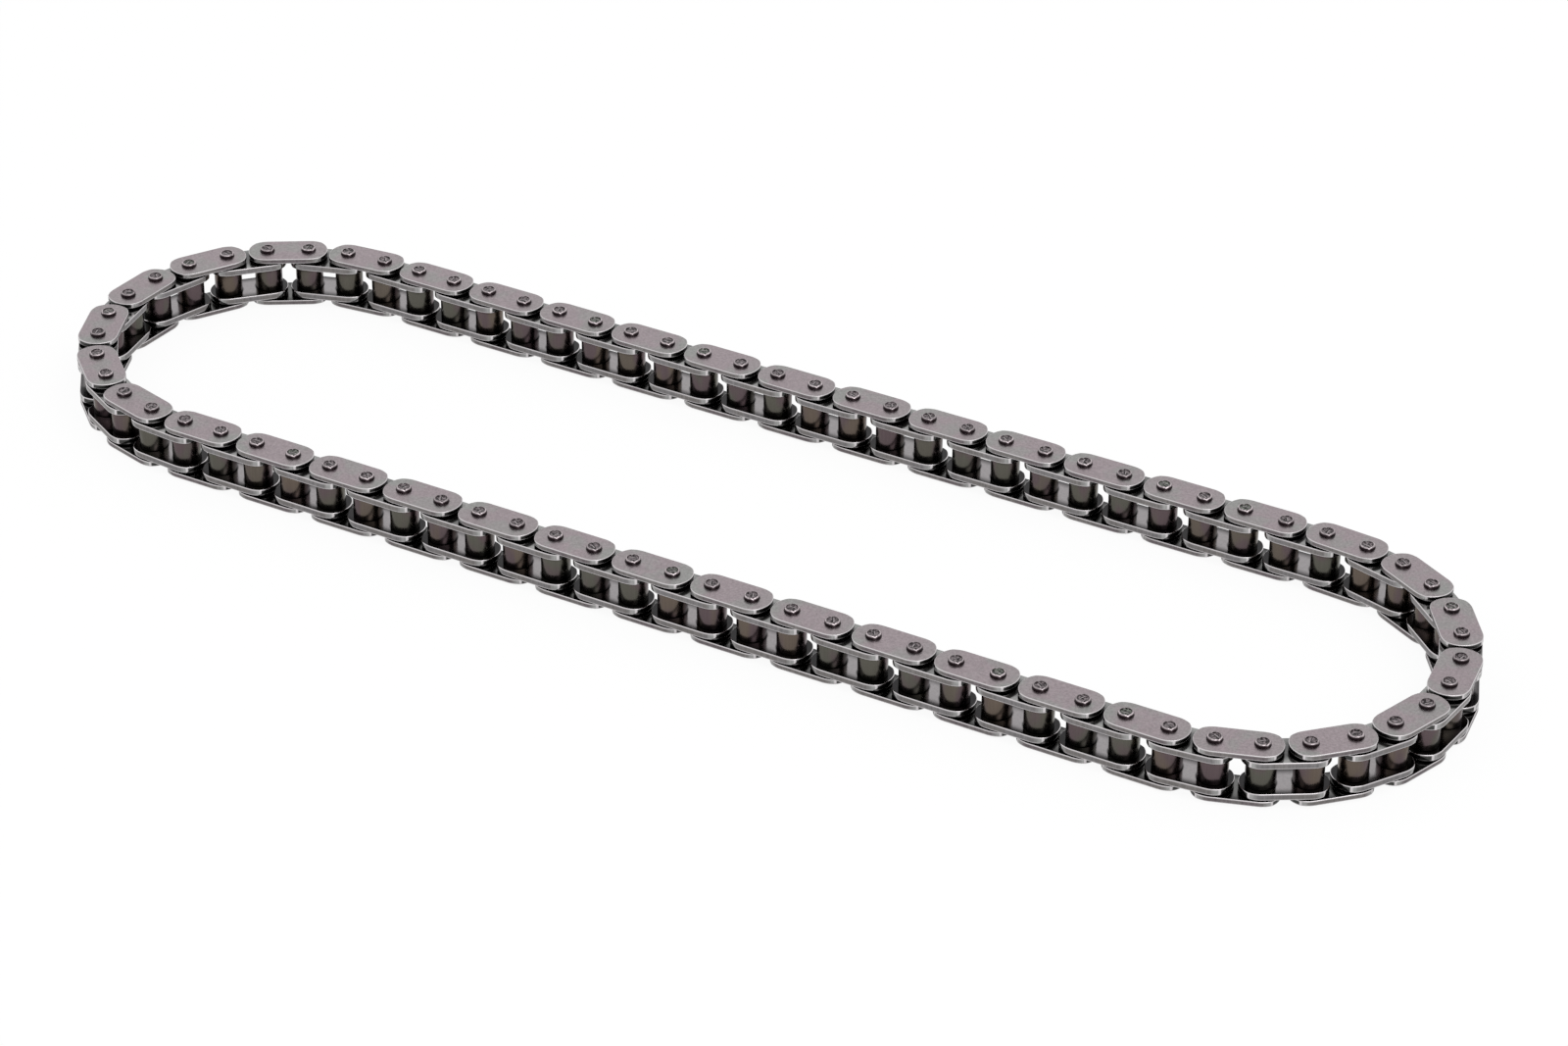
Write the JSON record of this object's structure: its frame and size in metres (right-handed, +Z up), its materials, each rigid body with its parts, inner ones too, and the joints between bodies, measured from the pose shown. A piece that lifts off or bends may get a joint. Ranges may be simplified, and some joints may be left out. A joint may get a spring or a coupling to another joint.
{
  "type": "timing chain",
  "caption": "Endless simplex roller chain for an engine timing drive, lying on its side in a long loop, with riveted pins, bushes, rollers and rounded link plates.",
  "frame": {"origin": "middle of the loop on the surface that the lower pin ends rest on", "axes": "+X along the loop's two straight runs, +Y across the loop, +Z up along the pins"},
  "size_m": [0.3336, 0.0918, 0.0137],
  "materials": {
    "outer_plate_steel": "satin, tumbled, slightly violet",
    "inner_plate_steel": "satin, tumbled",
    "pin_steel": "satin with bright riveted rims",
    "bush_steel": "satin",
    "roller_steel": "dark bronze heat tint, polished",
    "link_steel": "satin plates, darker pins and rollers"
  },
  "bodies": {
    "outer_link_00": {"outer_plate_upper": "outer_plate_steel", "outer_plate_lower": "outer_plate_steel", "pins": "pin_steel"},
    "inner_link_01": {"inner_plate_upper": "inner_plate_steel", "inner_plate_lower": "inner_plate_steel", "bushes": "bush_steel"},
    "roller_first": {"roller_first": "roller_steel"},
    "roller_second": {"roller_second": "roller_steel"},
    "link_pair_02_03": {"link_pair_02_03": "link_steel"},
    "link_pair_04_05": {"link_pair_04_05": "link_steel"},
    "link_pair_06_07": {"link_pair_06_07": "link_steel"},
    "link_pair_08_09": {"link_pair_08_09": "link_steel"},
    "link_pair_10_11": {"link_pair_10_11": "link_steel"},
    "link_pair_12_13": {"link_pair_12_13": "link_steel"},
    "outer_link_14": {"outer_link_14": "link_steel"},
    "inner_link_15": {"inner_link_15": "link_steel"},
    "outer_link_16": {"outer_link_16": "link_steel"},
    "inner_link_17": {"inner_link_17": "link_steel"},
    "outer_link_18": {"outer_link_18": "link_steel"},
    "inner_link_19": {"inner_link_19": "link_steel"},
    "outer_link_20": {"outer_link_20": "link_steel"},
    "inner_link_21": {"inner_link_21": "link_steel"},
    "outer_link_22": {"outer_link_22": "link_steel"},
    "inner_link_23": {"inner_link_23": "link_steel"},
    "outer_link_24": {"outer_link_24": "link_steel"},
    "inner_link_25": {"inner_link_25": "link_steel"},
    "link_pair_26_27": {"link_pair_26_27": "link_steel"},
    "link_pair_28_29": {"link_pair_28_29": "link_steel"},
    "link_pair_30_31": {"link_pair_30_31": "link_steel"},
    "link_pair_32_33": {"link_pair_32_33": "link_steel"},
    "link_pair_34_35": {"link_pair_34_35": "link_steel"},
    "link_pair_36_37": {"link_pair_36_37": "link_steel"},
    "outer_link_38": {"outer_link_38": "link_steel"},
    "inner_link_39": {"inner_link_39": "link_steel"},
    "outer_link_40": {"outer_link_40": "link_steel"},
    "link_pair_41_42": {"link_pair_41_42": "link_steel"},
    "link_pair_43_44": {"link_pair_43_44": "link_steel"},
    "link_pair_45_46": {"link_pair_45_46": "link_steel"},
    "link_pair_47_48": {"link_pair_47_48": "link_steel"},
    "link_pair_49_50": {"link_pair_49_50": "link_steel"},
    "link_pair_51_52": {"link_pair_51_52": "link_steel"},
    "inner_link_53": {"inner_link_53": "link_steel"},
    "outer_link_54": {"outer_link_54": "link_steel"},
    "inner_link_55": {"inner_link_55": "link_steel"},
    "outer_link_56": {"outer_link_56": "link_steel"},
    "inner_link_57": {"inner_link_57": "link_steel"},
    "outer_link_58": {"outer_link_58": "link_steel"},
    "inner_link_59": {"inner_link_59": "link_steel"},
    "outer_link_60": {"outer_link_60": "link_steel"},
    "inner_link_61": {"inner_link_61": "link_steel"},
    "outer_link_62": {"outer_link_62": "link_steel"},
    "inner_link_63": {"inner_link_63": "link_steel"},
    "outer_link_64": {"outer_link_64": "link_steel"},
    "link_pair_65_66": {"link_pair_65_66": "link_steel"},
    "link_pair_67_68": {"link_pair_67_68": "link_steel"},
    "link_pair_69_70": {"link_pair_69_70": "link_steel"},
    "link_pair_71_72": {"link_pair_71_72": "link_steel"},
    "link_pair_73_74": {"link_pair_73_74": "link_steel"},
    "link_pair_75_76": {"link_pair_75_76": "link_steel"},
    "inner_link_77": {"inner_link_77": "link_steel"}
  },
  "joints": [
    {"name": "pivot_01", "type": "hinge", "parent": "outer_link_00", "child": "inner_link_01", "pos_m": [0.00612, -0.04143, 0.00685], "axis": [0, 0, 1], "range_deg": [-1.87, 11.02]},
    {"name": "pivot_02", "type": "hinge", "parent": "inner_link_01", "child": "link_pair_02_03", "pos_m": [0.01564, -0.04143, 0.00685], "axis": [0, 0, 1], "range_deg": [-2.79, 16.52]},
    {"name": "pivot_04", "type": "hinge", "parent": "link_pair_02_03", "child": "link_pair_04_05", "pos_m": [0.03469, -0.04143, 0.00685], "axis": [0, 0, 1], "range_deg": [-3.72, 22.02]},
    {"name": "pivot_06", "type": "hinge", "parent": "link_pair_04_05", "child": "link_pair_06_07", "pos_m": [0.05374, -0.04143, 0.00685], "axis": [0, 0, 1], "range_deg": [-3.72, 22.02]},
    {"name": "pivot_08", "type": "hinge", "parent": "link_pair_06_07", "child": "link_pair_08_09", "pos_m": [0.07279, -0.04143, 0.00685], "axis": [0, 0, 1], "range_deg": [-3.72, 22.02]},
    {"name": "pivot_10", "type": "hinge", "parent": "link_pair_08_09", "child": "link_pair_10_11", "pos_m": [0.09184, -0.04143, 0.00685], "axis": [0, 0, 1], "range_deg": [-3.72, 22.02]},
    {"name": "pivot_12", "type": "hinge", "parent": "link_pair_10_11", "child": "link_pair_12_13", "pos_m": [0.11089, -0.04143, 0.00685], "axis": [0, 0, 1], "range_deg": [-2.45, 14.49]},
    {"name": "pivot_14", "type": "hinge", "parent": "link_pair_12_13", "child": "outer_link_14", "pos_m": [0.12989, -0.04038, 0.00685], "axis": [0, 0, 1], "range_deg": [-21.15, 3.57]},
    {"name": "pivot_15", "type": "hinge", "parent": "outer_link_14", "child": "inner_link_15", "pos_m": [0.13889, -0.03729, 0.00685], "axis": [0, 0, 1], "range_deg": [-20.63, 3.49]},
    {"name": "pivot_16", "type": "hinge", "parent": "inner_link_15", "child": "outer_link_16", "pos_m": [0.14695, -0.03221, 0.00685], "axis": [0, 0, 1], "range_deg": [-20.63, 3.49]},
    {"name": "pivot_17", "type": "hinge", "parent": "outer_link_16", "child": "inner_link_17", "pos_m": [0.15363, -0.02542, 0.00685], "axis": [0, 0, 1], "range_deg": [-20.63, 3.49]},
    {"name": "pivot_18", "type": "hinge", "parent": "inner_link_17", "child": "outer_link_18", "pos_m": [0.15858, -0.01728, 0.00685], "axis": [0, 0, 1], "range_deg": [-20.63, 3.49]},
    {"name": "pivot_19", "type": "hinge", "parent": "outer_link_18", "child": "inner_link_19", "pos_m": [0.16152, -0.00822, 0.00685], "axis": [0, 0, 1], "range_deg": [-20.63, 3.49]},
    {"name": "pivot_20", "type": "hinge", "parent": "inner_link_19", "child": "outer_link_20", "pos_m": [0.16231, 0.00127, 0.00685], "axis": [0, 0, 1], "range_deg": [-20.63, 3.49]},
    {"name": "pivot_21", "type": "hinge", "parent": "outer_link_20", "child": "inner_link_21", "pos_m": [0.16089, 0.01069, 0.00685], "axis": [0, 0, 1], "range_deg": [-20.63, 3.49]},
    {"name": "pivot_22", "type": "hinge", "parent": "inner_link_21", "child": "outer_link_22", "pos_m": [0.15736, 0.01954, 0.00685], "axis": [0, 0, 1], "range_deg": [-20.63, 3.49]},
    {"name": "pivot_23", "type": "hinge", "parent": "outer_link_22", "child": "inner_link_23", "pos_m": [0.15189, 0.02734, 0.00685], "axis": [0, 0, 1], "range_deg": [-20.63, 3.49]},
    {"name": "pivot_24", "type": "hinge", "parent": "inner_link_23", "child": "outer_link_24", "pos_m": [0.14477, 0.03367, 0.00685], "axis": [0, 0, 1], "range_deg": [-20.63, 3.49]},
    {"name": "pivot_25", "type": "hinge", "parent": "outer_link_24", "child": "inner_link_25", "pos_m": [0.1364, 0.0382, 0.00685], "axis": [0, 0, 1], "range_deg": [-20.63, 3.49]},
    {"name": "pivot_26", "type": "hinge", "parent": "inner_link_25", "child": "link_pair_26_27", "pos_m": [0.1272, 0.04069, 0.00685], "axis": [0, 0, 1], "range_deg": [-14.38, 2.44]},
    {"name": "pivot_28", "type": "hinge", "parent": "link_pair_26_27", "child": "link_pair_28_29", "pos_m": [0.10818, 0.04143, 0.00685], "axis": [0, 0, 1], "range_deg": [-2.83, 16.75]},
    {"name": "pivot_30", "type": "hinge", "parent": "link_pair_28_29", "child": "link_pair_30_31", "pos_m": [0.08913, 0.04143, 0.00685], "axis": [0, 0, 1], "range_deg": [-3.72, 22.02]},
    {"name": "pivot_32", "type": "hinge", "parent": "link_pair_30_31", "child": "link_pair_32_33", "pos_m": [0.07008, 0.04143, 0.00685], "axis": [0, 0, 1], "range_deg": [-3.72, 22.02]},
    {"name": "pivot_34", "type": "hinge", "parent": "link_pair_32_33", "child": "link_pair_34_35", "pos_m": [0.05103, 0.04143, 0.00685], "axis": [0, 0, 1], "range_deg": [-3.72, 22.02]},
    {"name": "pivot_36", "type": "hinge", "parent": "link_pair_34_35", "child": "link_pair_36_37", "pos_m": [0.03198, 0.04143, 0.00685], "axis": [0, 0, 1], "range_deg": [-3.72, 22.02]},
    {"name": "pivot_38", "type": "hinge", "parent": "link_pair_36_37", "child": "outer_link_38", "pos_m": [0.01293, 0.04143, 0.00685], "axis": [0, 0, 1], "range_deg": [-2.79, 16.52]},
    {"name": "pivot_39", "type": "hinge", "parent": "outer_link_38", "child": "inner_link_39", "pos_m": [0.00341, 0.04143, 0.00685], "axis": [0, 0, 1], "range_deg": [-1.87, 11.02]},
    {"name": "pivot_00", "type": "hinge", "parent": "outer_link_00", "child": "inner_link_77", "pos_m": [-0.00341, -0.04143, 0.00685], "axis": [0, 0, -1], "range_deg": [-1.87, 11.02]},
    {"name": "pivot_77", "type": "hinge", "parent": "inner_link_77", "child": "link_pair_75_76", "pos_m": [-0.01293, -0.04143, 0.00685], "axis": [0, 0, -1], "range_deg": [-2.79, 16.52]},
    {"name": "pivot_75", "type": "hinge", "parent": "link_pair_75_76", "child": "link_pair_73_74", "pos_m": [-0.03198, -0.04143, 0.00685], "axis": [0, 0, -1], "range_deg": [-3.72, 22.02]},
    {"name": "pivot_73", "type": "hinge", "parent": "link_pair_73_74", "child": "link_pair_71_72", "pos_m": [-0.05103, -0.04143, 0.00685], "axis": [0, 0, -1], "range_deg": [-3.72, 22.02]},
    {"name": "pivot_71", "type": "hinge", "parent": "link_pair_71_72", "child": "link_pair_69_70", "pos_m": [-0.07008, -0.04143, 0.00685], "axis": [0, 0, -1], "range_deg": [-3.72, 22.02]},
    {"name": "pivot_69", "type": "hinge", "parent": "link_pair_69_70", "child": "link_pair_67_68", "pos_m": [-0.08913, -0.04143, 0.00685], "axis": [0, 0, -1], "range_deg": [-3.72, 22.02]},
    {"name": "pivot_67", "type": "hinge", "parent": "link_pair_67_68", "child": "link_pair_65_66", "pos_m": [-0.10818, -0.04143, 0.00685], "axis": [0, 0, -1], "range_deg": [-2.83, 16.75]},
    {"name": "pivot_65", "type": "hinge", "parent": "link_pair_65_66", "child": "outer_link_64", "pos_m": [-0.1272, -0.04069, 0.00685], "axis": [0, 0, -1], "range_deg": [-14.38, 2.44]},
    {"name": "pivot_64", "type": "hinge", "parent": "outer_link_64", "child": "inner_link_63", "pos_m": [-0.1364, -0.0382, 0.00685], "axis": [0, 0, -1], "range_deg": [-20.63, 3.49]},
    {"name": "pivot_63", "type": "hinge", "parent": "inner_link_63", "child": "outer_link_62", "pos_m": [-0.14477, -0.03367, 0.00685], "axis": [0, 0, -1], "range_deg": [-20.63, 3.49]},
    {"name": "pivot_62", "type": "hinge", "parent": "outer_link_62", "child": "inner_link_61", "pos_m": [-0.15189, -0.02734, 0.00685], "axis": [0, 0, -1], "range_deg": [-20.63, 3.49]},
    {"name": "pivot_61", "type": "hinge", "parent": "inner_link_61", "child": "outer_link_60", "pos_m": [-0.15736, -0.01954, 0.00685], "axis": [0, 0, -1], "range_deg": [-20.63, 3.49]},
    {"name": "pivot_60", "type": "hinge", "parent": "outer_link_60", "child": "inner_link_59", "pos_m": [-0.16089, -0.01069, 0.00685], "axis": [0, 0, -1], "range_deg": [-20.63, 3.49]},
    {"name": "pivot_59", "type": "hinge", "parent": "inner_link_59", "child": "outer_link_58", "pos_m": [-0.16231, -0.00127, 0.00685], "axis": [0, 0, -1], "range_deg": [-20.63, 3.49]},
    {"name": "pivot_58", "type": "hinge", "parent": "outer_link_58", "child": "inner_link_57", "pos_m": [-0.16152, 0.00822, 0.00685], "axis": [0, 0, -1], "range_deg": [-20.63, 3.49]},
    {"name": "pivot_57", "type": "hinge", "parent": "inner_link_57", "child": "outer_link_56", "pos_m": [-0.15858, 0.01728, 0.00685], "axis": [0, 0, -1], "range_deg": [-20.63, 3.49]},
    {"name": "pivot_56", "type": "hinge", "parent": "outer_link_56", "child": "inner_link_55", "pos_m": [-0.15363, 0.02542, 0.00685], "axis": [0, 0, -1], "range_deg": [-20.63, 3.49]},
    {"name": "pivot_55", "type": "hinge", "parent": "inner_link_55", "child": "outer_link_54", "pos_m": [-0.14695, 0.03221, 0.00685], "axis": [0, 0, -1], "range_deg": [-20.63, 3.49]},
    {"name": "pivot_54", "type": "hinge", "parent": "outer_link_54", "child": "inner_link_53", "pos_m": [-0.13889, 0.03729, 0.00685], "axis": [0, 0, -1], "range_deg": [-20.63, 3.49]},
    {"name": "pivot_53", "type": "hinge", "parent": "inner_link_53", "child": "link_pair_51_52", "pos_m": [-0.12989, 0.04038, 0.00685], "axis": [0, 0, -1], "range_deg": [-21.15, 3.57]},
    {"name": "pivot_51", "type": "hinge", "parent": "link_pair_51_52", "child": "link_pair_49_50", "pos_m": [-0.11089, 0.04143, 0.00685], "axis": [0, 0, -1], "range_deg": [-2.45, 14.49]},
    {"name": "pivot_49", "type": "hinge", "parent": "link_pair_49_50", "child": "link_pair_47_48", "pos_m": [-0.09184, 0.04143, 0.00685], "axis": [0, 0, -1], "range_deg": [-3.72, 22.02]},
    {"name": "pivot_47", "type": "hinge", "parent": "link_pair_47_48", "child": "link_pair_45_46", "pos_m": [-0.07279, 0.04143, 0.00685], "axis": [0, 0, -1], "range_deg": [-3.7, 22]},
    {"name": "pivot_45", "type": "hinge", "parent": "link_pair_45_46", "child": "link_pair_43_44", "pos_m": [-0.05374, 0.04143, 0.00685], "axis": [0, 0, -1], "range_deg": [-3.72, 22.02]},
    {"name": "pivot_43", "type": "hinge", "parent": "link_pair_43_44", "child": "link_pair_41_42", "pos_m": [-0.03469, 0.04143, 0.00685], "axis": [0, 0, -1], "range_deg": [-3.72, 22.02]},
    {"name": "pivot_41", "type": "hinge", "parent": "link_pair_41_42", "child": "outer_link_40", "pos_m": [-0.01564, 0.04143, 0.00685], "axis": [0, 0, -1], "range_deg": [-2.79, 16.52]},
    {"name": "roller_first_spin", "type": "hinge", "parent": "inner_link_01", "child": "roller_first", "pos_m": [0.00612, -0.04143, 0.00685], "axis": [0, 0, 1], "continuous": true},
    {"name": "roller_second_spin", "type": "hinge", "parent": "inner_link_01", "child": "roller_second", "pos_m": [0.01564, -0.04143, 0.00685], "axis": [0, 0, 1], "continuous": true}
  ],
  "couplings": [
    {"joint": "pivot_01", "follows": "pivot_47", "ratio": 0.5},
    {"joint": "pivot_02", "follows": "pivot_47", "ratio": 0.75},
    {"joint": "pivot_04", "follows": "pivot_47", "ratio": 1},
    {"joint": "pivot_06", "follows": "pivot_47", "ratio": 1},
    {"joint": "pivot_08", "follows": "pivot_47", "ratio": 1},
    {"joint": "pivot_10", "follows": "pivot_47", "ratio": 1},
    {"joint": "pivot_12", "follows": "pivot_47", "ratio": 0.65789},
    {"joint": "pivot_14", "follows": "pivot_47", "ratio": -0.96053},
    {"joint": "pivot_15", "follows": "pivot_47", "ratio": -0.93684},
    {"joint": "pivot_16", "follows": "pivot_47", "ratio": -0.93684},
    {"joint": "pivot_17", "follows": "pivot_47", "ratio": -0.93684},
    {"joint": "pivot_18", "follows": "pivot_47", "ratio": -0.93684},
    {"joint": "pivot_19", "follows": "pivot_47", "ratio": -0.93684},
    {"joint": "pivot_20", "follows": "pivot_47", "ratio": -0.93684},
    {"joint": "pivot_21", "follows": "pivot_47", "ratio": -0.93684},
    {"joint": "pivot_22", "follows": "pivot_47", "ratio": -0.93684},
    {"joint": "pivot_23", "follows": "pivot_47", "ratio": -0.93684},
    {"joint": "pivot_24", "follows": "pivot_47", "ratio": -0.93684},
    {"joint": "pivot_25", "follows": "pivot_47", "ratio": -0.93684},
    {"joint": "pivot_26", "follows": "pivot_47", "ratio": -0.65263},
    {"joint": "pivot_28", "follows": "pivot_47", "ratio": 0.76053},
    {"joint": "pivot_30", "follows": "pivot_47", "ratio": 1},
    {"joint": "pivot_32", "follows": "pivot_47", "ratio": 1},
    {"joint": "pivot_34", "follows": "pivot_47", "ratio": 1},
    {"joint": "pivot_36", "follows": "pivot_47", "ratio": 1},
    {"joint": "pivot_38", "follows": "pivot_47", "ratio": 0.75},
    {"joint": "pivot_39", "follows": "pivot_47", "ratio": 0.5},
    {"joint": "pivot_00", "follows": "pivot_47", "ratio": 0.5},
    {"joint": "pivot_77", "follows": "pivot_47", "ratio": 0.75},
    {"joint": "pivot_75", "follows": "pivot_47", "ratio": 1},
    {"joint": "pivot_73", "follows": "pivot_47", "ratio": 1},
    {"joint": "pivot_71", "follows": "pivot_47", "ratio": 1},
    {"joint": "pivot_69", "follows": "pivot_47", "ratio": 1},
    {"joint": "pivot_67", "follows": "pivot_47", "ratio": 0.76053},
    {"joint": "pivot_65", "follows": "pivot_47", "ratio": -0.65263},
    {"joint": "pivot_64", "follows": "pivot_47", "ratio": -0.93684},
    {"joint": "pivot_63", "follows": "pivot_47", "ratio": -0.93684},
    {"joint": "pivot_62", "follows": "pivot_47", "ratio": -0.93684},
    {"joint": "pivot_61", "follows": "pivot_47", "ratio": -0.93684},
    {"joint": "pivot_60", "follows": "pivot_47", "ratio": -0.93684},
    {"joint": "pivot_59", "follows": "pivot_47", "ratio": -0.93684},
    {"joint": "pivot_58", "follows": "pivot_47", "ratio": -0.93684},
    {"joint": "pivot_57", "follows": "pivot_47", "ratio": -0.93684},
    {"joint": "pivot_56", "follows": "pivot_47", "ratio": -0.93684},
    {"joint": "pivot_55", "follows": "pivot_47", "ratio": -0.93684},
    {"joint": "pivot_54", "follows": "pivot_47", "ratio": -0.93684},
    {"joint": "pivot_53", "follows": "pivot_47", "ratio": -0.96053},
    {"joint": "pivot_51", "follows": "pivot_47", "ratio": 0.65789},
    {"joint": "pivot_49", "follows": "pivot_47", "ratio": 1},
    {"joint": "pivot_45", "follows": "pivot_47", "ratio": 1},
    {"joint": "pivot_43", "follows": "pivot_47", "ratio": 1},
    {"joint": "pivot_41", "follows": "pivot_47", "ratio": 0.75}
  ]
}
